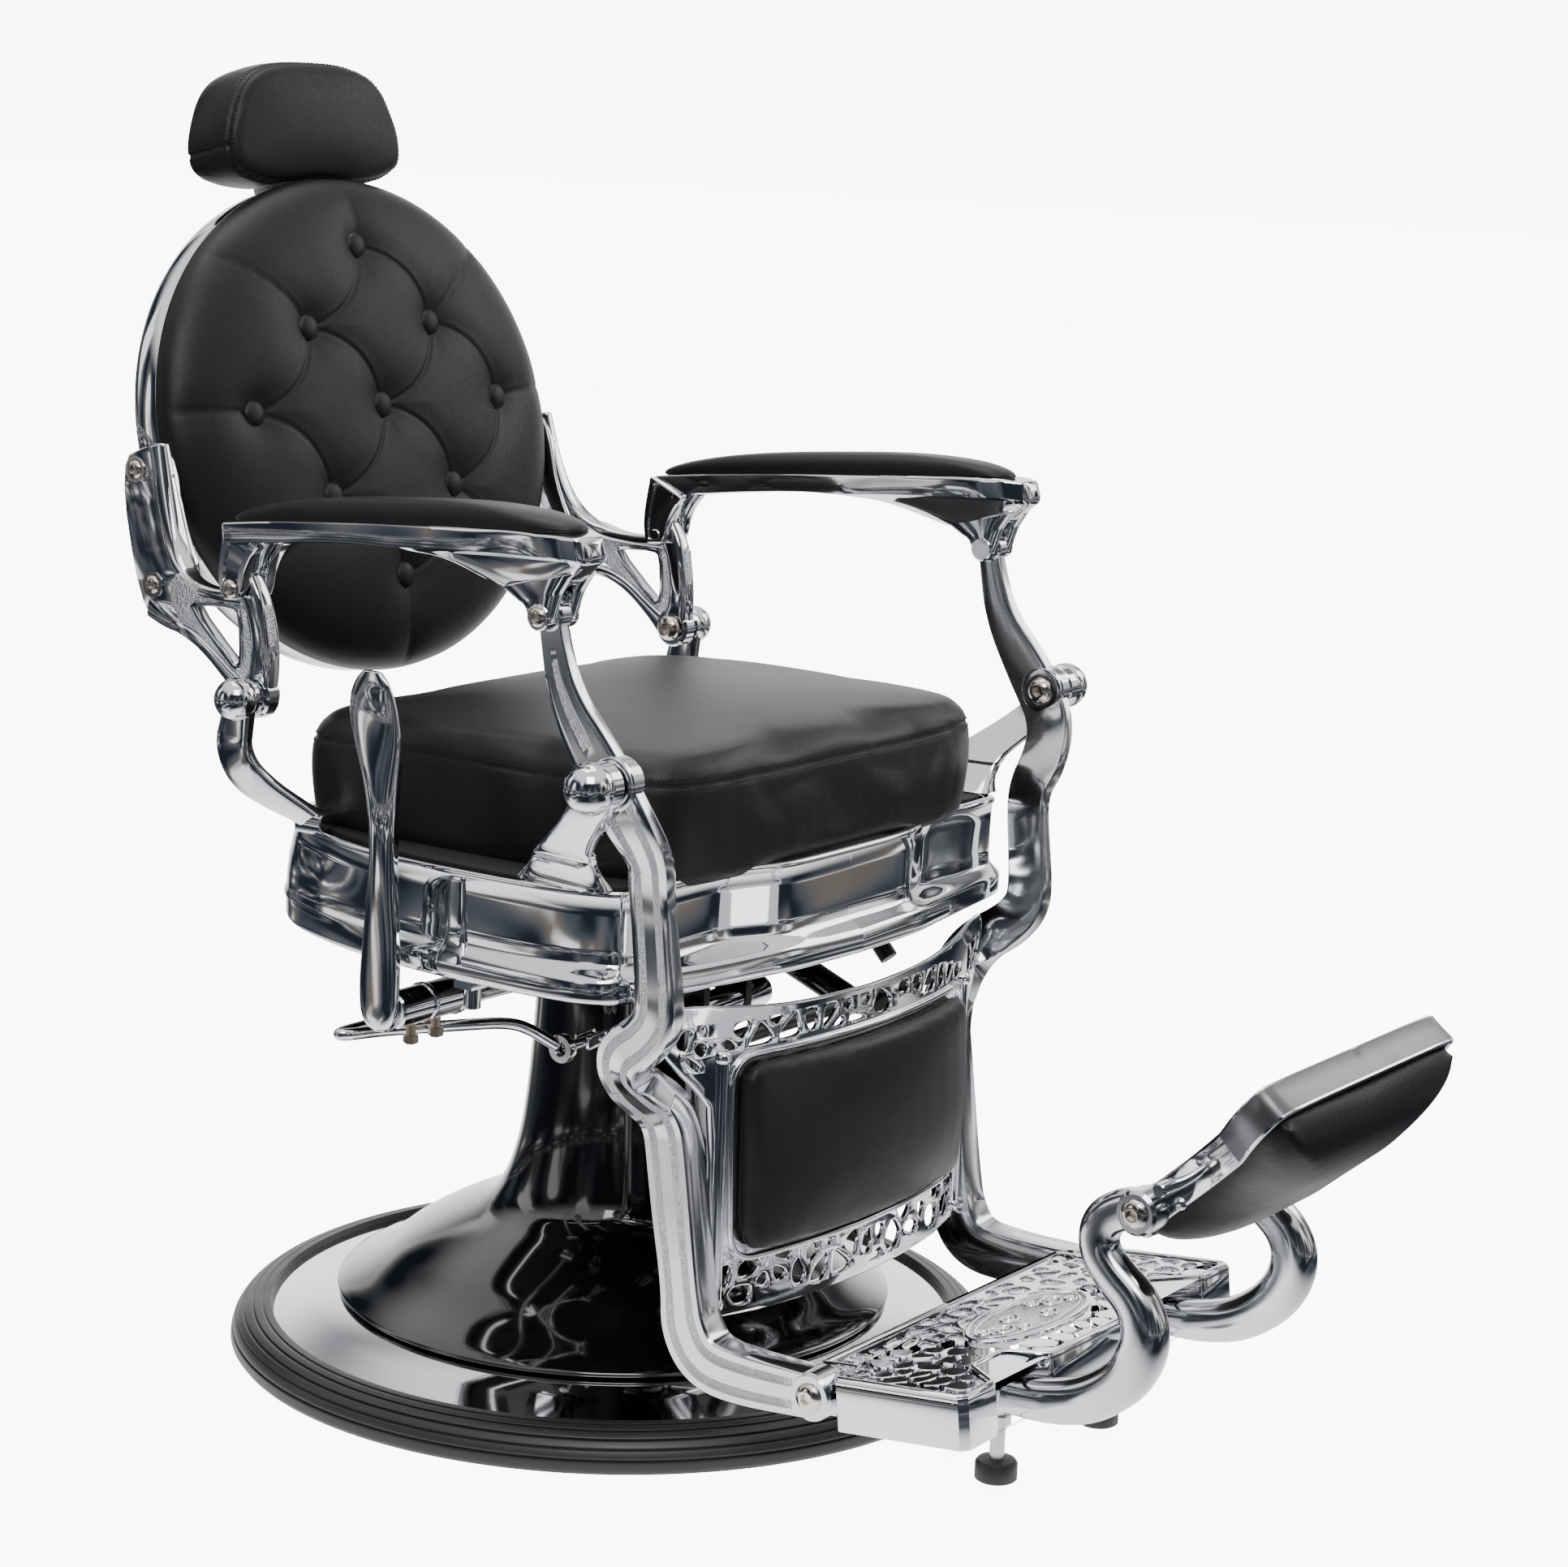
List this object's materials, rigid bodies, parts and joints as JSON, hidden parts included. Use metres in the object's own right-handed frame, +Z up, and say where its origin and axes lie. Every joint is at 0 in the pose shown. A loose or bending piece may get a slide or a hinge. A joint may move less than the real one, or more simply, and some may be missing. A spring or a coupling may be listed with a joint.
{
  "type": "hydraulic barber chair",
  "caption": "Vintage style hydraulic barber chair with a tufted oval back, linked recline, chrome castings, calf panel and flip footrest.",
  "frame": {"origin": "on the floor under the centre of the hydraulic column", "axes": "+Z up, the sitter faces -Y, the sitter's right hand (pump lever side) is -X"},
  "size_m": [0.716, 1.1484, 1.0816],
  "materials": {
    "polished_chrome": "mirror polished chrome plate on castings and pressed sheet",
    "black_gloss": "deep gloss black paint",
    "black_steel": "satin black paint",
    "cast_iron": "machined cast iron, hidden",
    "zinc_steel": "zinc plated steel",
    "nickel_screw": "nickel plated socket screws",
    "brass_screw": "dull brass set screws",
    "black_rubber": "matt moulded rubber with grooves",
    "black_leather": "black grained leatherette with fine stitching",
    "plywood": "birch plywood, hidden"
  },
  "bodies": {
    "base": {"rubber_ring": "black_rubber", "base_disc": "polished_chrome", "base_plate": "black_steel", "pump_cylinder": "cast_iron", "pump_bolts": "zinc_steel", "gland_nut": "zinc_steel", "bell_cover": "black_gloss"},
    "ram": {"lift_ram": "polished_chrome", "thrust_bearing": "zinc_steel"},
    "seat": {"swivel_hub": "cast_iron", "seat_subframe": "black_steel", "seat_frame": "polished_chrome", "seat_board": "plywood", "seat_cushion": "black_leather", "front_bracket_right": "polished_chrome", "front_bracket_left": "polished_chrome", "rear_arm_right": "polished_chrome", "rear_arm_left": "polished_chrome", "pivot_screws": "nickel_screw", "lever_bearing": "black_steel", "stop_screw": "polished_chrome", "cross_tube": "polished_chrome", "under_brackets": "black_steel", "leg_stop": "black_steel"},
    "pump_lever": {"pump_shaft": "polished_chrome", "pump_lever": "polished_chrome", "set_screws": "brass_screw"},
    "recline_lever": {"recline_lever": "polished_chrome"},
    "strut_cylinder": {"strut_cylinder": "black_gloss"},
    "strut_rod": {"strut_rod": "polished_chrome"},
    "backrest": {"back_shell": "polished_chrome", "back_pad": "black_leather", "back_buttons": "black_leather", "back_bracket_right": "polished_chrome", "back_bracket_left": "polished_chrome", "bracket_screws": "nickel_screw", "headrest_guide": "black_steel"},
    "headrest": {"headrest_post": "polished_chrome", "headrest_pad": "black_leather"},
    "arm_right": {"armrest_right": "polished_chrome", "arm_pad_right": "black_leather", "arm_pins_right": "nickel_screw"},
    "arm_left": {"armrest_left": "polished_chrome", "arm_pad_left": "black_leather", "arm_pins_left": "nickel_screw"},
    "leg_frame": {"leg_bar_right": "polished_chrome", "leg_bar_left": "polished_chrome", "leg_cross_bars": "black_steel", "leg_panel": "polished_chrome", "calf_pad": "black_leather", "strut_pin": "nickel_screw"},
    "footplate": {"footplate": "polished_chrome", "foot_bolts": "nickel_screw", "leveller_stems": "zinc_steel", "leveller_feet": "black_rubber", "foot_arm_right": "polished_chrome", "foot_arm_left": "polished_chrome"},
    "flip_rest": {"flip_tray": "polished_chrome", "flip_pad": "black_leather", "flip_bolts": "nickel_screw"}
  },
  "joints": [
    {"name": "lift", "type": "slide", "parent": "base", "child": "ram", "axis": [0, 0, 1], "range_m": [0, 0.15]},
    {"name": "swivel", "type": "hinge", "parent": "ram", "child": "seat", "pos_m": [0, 0, 0.36], "axis": [0, 0, 1], "continuous": true},
    {"name": "recline", "type": "hinge", "parent": "seat", "child": "backrest", "pos_m": [0, 0.164, 0.5762], "axis": [-1, 0, 0], "range_deg": [0, 40]},
    {"name": "leg_swing", "type": "hinge", "parent": "seat", "child": "leg_frame", "pos_m": [0, -0.2238, 0.5632], "axis": [-1, 0, 0], "range_deg": [0, 30.58]},
    {"name": "arm_link_right", "type": "hinge", "parent": "backrest", "child": "arm_right", "pos_m": [-0.2785, 0.1776, 0.6626], "axis": [-1, 0, 0], "range_deg": [-43.5, 0]},
    {"name": "arm_link_left", "type": "hinge", "parent": "backrest", "child": "arm_left", "pos_m": [0.2785, 0.1776, 0.6626], "axis": [-1, 0, 0], "range_deg": [-43.5, 0]},
    {"name": "headrest_height", "type": "slide", "parent": "backrest", "child": "headrest", "axis": [0, 0.2147, 0.9767], "range_m": [0, 0.06]},
    {"name": "footplate_fold", "type": "hinge", "parent": "leg_frame", "child": "footplate", "pos_m": [0, -0.352, 0.088], "axis": [-1, 0, 0], "range_deg": [0, 25]},
    {"name": "flip", "type": "hinge", "parent": "footplate", "child": "flip_rest", "pos_m": [0, -0.581, 0.265], "axis": [-1, 0, 0], "range_deg": [0, 80]},
    {"name": "pump_swing", "type": "hinge", "parent": "seat", "child": "pump_lever", "pos_m": [-0.318, -0.012, 0.352], "axis": [1, 0, 0], "range_deg": [-12, 18]},
    {"name": "recline_trigger", "type": "hinge", "parent": "seat", "child": "recline_lever", "pos_m": [-0.082, 0.036, 0.324], "axis": [0, 1, 0], "range_deg": [0, 4.5]},
    {"name": "strut_tilt", "type": "hinge", "parent": "seat", "child": "strut_cylinder", "pos_m": [0.086, -0.02, 0.375], "axis": [-1, 0, 0], "range_deg": [0, 13.5]},
    {"name": "strut_stroke", "type": "slide", "parent": "strut_cylinder", "child": "strut_rod", "axis": [0, -0.9352, -0.3542], "range_m": [0, 0.1258]}
  ],
  "couplings": [
    {"joint": "leg_swing", "follows": "recline", "ratio": 0.763},
    {"joint": "arm_link_right", "follows": "recline", "ratio": -1.0854},
    {"joint": "arm_link_left", "follows": "recline", "ratio": -1.0854},
    {"joint": "strut_tilt", "follows": "recline", "ratio": 0.3369},
    {"joint": "strut_stroke", "follows": "recline", "m_per_rad": 0.17983}
  ]
}
